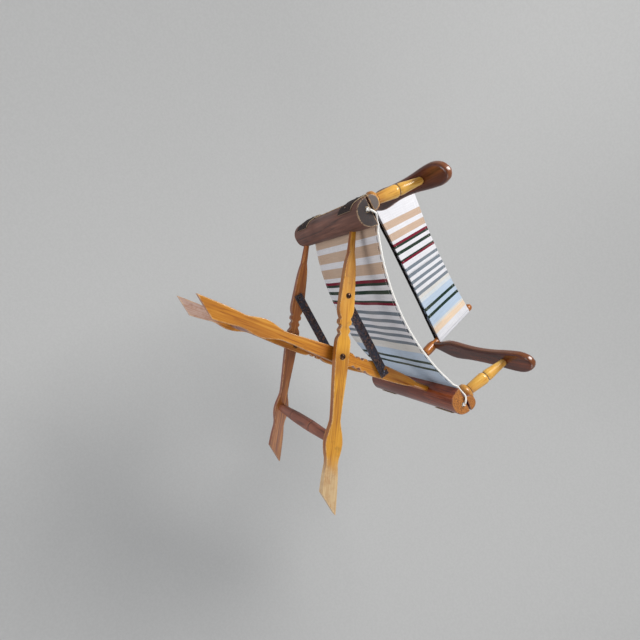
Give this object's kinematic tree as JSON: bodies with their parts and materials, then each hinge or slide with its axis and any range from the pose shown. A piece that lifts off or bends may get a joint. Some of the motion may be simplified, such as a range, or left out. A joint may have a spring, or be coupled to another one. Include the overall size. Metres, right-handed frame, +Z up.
{
  "type": "folding sling armchair",
  "caption": "Folding wooden X-frame armchair with a striped canvas sling seat, a canvas back band and arm frames on leather hinges.",
  "frame": {"origin": "on the ground under the middle of the chair's outline", "axes": "+Z up, the sitter faces -Y, +X towards the right as seen from the front; the cross pivots' axis runs along Y"},
  "size_m": [0.5836, 0.5021, 0.7823],
  "materials": {
    "golden_wood": "varnished, worn pale at the edges",
    "brown_wood": "matte stain",
    "red_wood": "gloss varnish",
    "dark_arm_wood": "high gloss varnish",
    "amber_wood": "gloss varnish",
    "leather": "dry, raw edges",
    "black_iron": "painted, rusting",
    "bronzed_steel": "bronzed",
    "striped_canvas": "woven cotton canvas, striped",
    "white_cotton": "twisted cotton cord"
  },
  "bodies": {
    "left_frame": {"leg_a_front": "golden_wood", "leg_a_rear": "golden_wood", "stretcher_a": "brown_wood", "rail_left": "brown_wood", "pivot_bolt_front": "bronzed_steel", "pivot_bolt_rear": "bronzed_steel", "pivot_nut_front": "bronzed_steel", "pivot_nut_rear": "bronzed_steel", "pivot_spacer_front": "bronzed_steel", "pivot_spacer_rear": "bronzed_steel", "stay_bolt_front": "bronzed_steel", "stay_bolt_rear": "bronzed_steel", "stay_nut_front": "black_iron", "stay_nut_rear": "black_iron", "hinge_lower_left_front": "leather", "hinge_lower_left_rear": "leather", "tack_lower_left_front": "bronzed_steel", "tack_lower_left_rear": "bronzed_steel", "cord_knot_left": "white_cotton", "seat_sling": "striped_canvas", "edge_cord": "white_cotton"},
    "right_frame": {"leg_b_front": "golden_wood", "leg_b_rear": "golden_wood", "stretcher_b": "red_wood", "rail_right": "red_wood", "stay_stud_front": "black_iron", "stay_stud_rear": "black_iron", "hinge_lower_right_front": "leather", "hinge_lower_right_rear": "leather", "tack_lower_right_front": "bronzed_steel", "tack_lower_right_rear": "bronzed_steel", "cord_knot_right": "white_cotton"},
    "front_stay": {"stay_front": "black_iron"},
    "rear_stay": {"stay_rear": "black_iron"},
    "left_arm": {"arm_rail_left": "brown_wood", "spindle_left": "golden_wood", "back_post_left": "amber_wood", "armrest_left": "dark_arm_wood", "back_band_left": "striped_canvas", "hinge_upper_left_front": "leather", "hinge_upper_left_rear": "leather", "tack_upper_left_front": "bronzed_steel", "tack_upper_left_rear": "bronzed_steel"},
    "right_arm": {"arm_rail_right": "red_wood", "spindle_right": "golden_wood", "back_post_right": "amber_wood", "armrest_right": "dark_arm_wood", "back_band_right": "striped_canvas", "hinge_upper_right_front": "leather", "hinge_upper_right_rear": "leather", "tack_upper_right_front": "bronzed_steel", "tack_upper_right_rear": "bronzed_steel"}
  },
  "joints": [
    {"name": "fold", "type": "hinge", "parent": "left_frame", "child": "right_frame", "pos_m": [0, 0.048, 0.20427], "axis": [0, -1, 0], "range_deg": [0, 78], "deforming": ["seat_sling", "edge_cord"]},
    {"name": "left_arm_hinge", "type": "hinge", "parent": "left_frame", "child": "left_arm", "pos_m": [-0.2885, 0.048, 0.41055], "axis": [0, -1, 0], "range_deg": [0, 39], "deforming": ["back_band_left"]},
    {"name": "right_arm_hinge", "type": "hinge", "parent": "right_frame", "child": "right_arm", "pos_m": [0.2885, 0.048, 0.41055], "axis": [0, 1, 0], "range_deg": [0, 39], "deforming": ["back_band_right"]},
    {"name": "front_stay_turn", "type": "hinge", "parent": "left_frame", "child": "front_stay", "pos_m": [-0.10833, -0.10958, 0.29137], "axis": [0, 0.9929, -0.1188], "range_deg": [0, 15.6]},
    {"name": "rear_stay_turn", "type": "hinge", "parent": "left_frame", "child": "rear_stay", "pos_m": [-0.10833, 0.20558, 0.29137], "axis": [0, 0.9929, 0.1188], "range_deg": [0, 15.6]}
  ],
  "couplings": [
    {"joint": "left_arm_hinge", "follows": "fold", "ratio": 0.5},
    {"joint": "right_arm_hinge", "follows": "fold", "ratio": 0.5},
    {"joint": "front_stay_turn", "follows": "fold", "ratio": 0.2},
    {"joint": "rear_stay_turn", "follows": "fold", "ratio": 0.2}
  ]
}
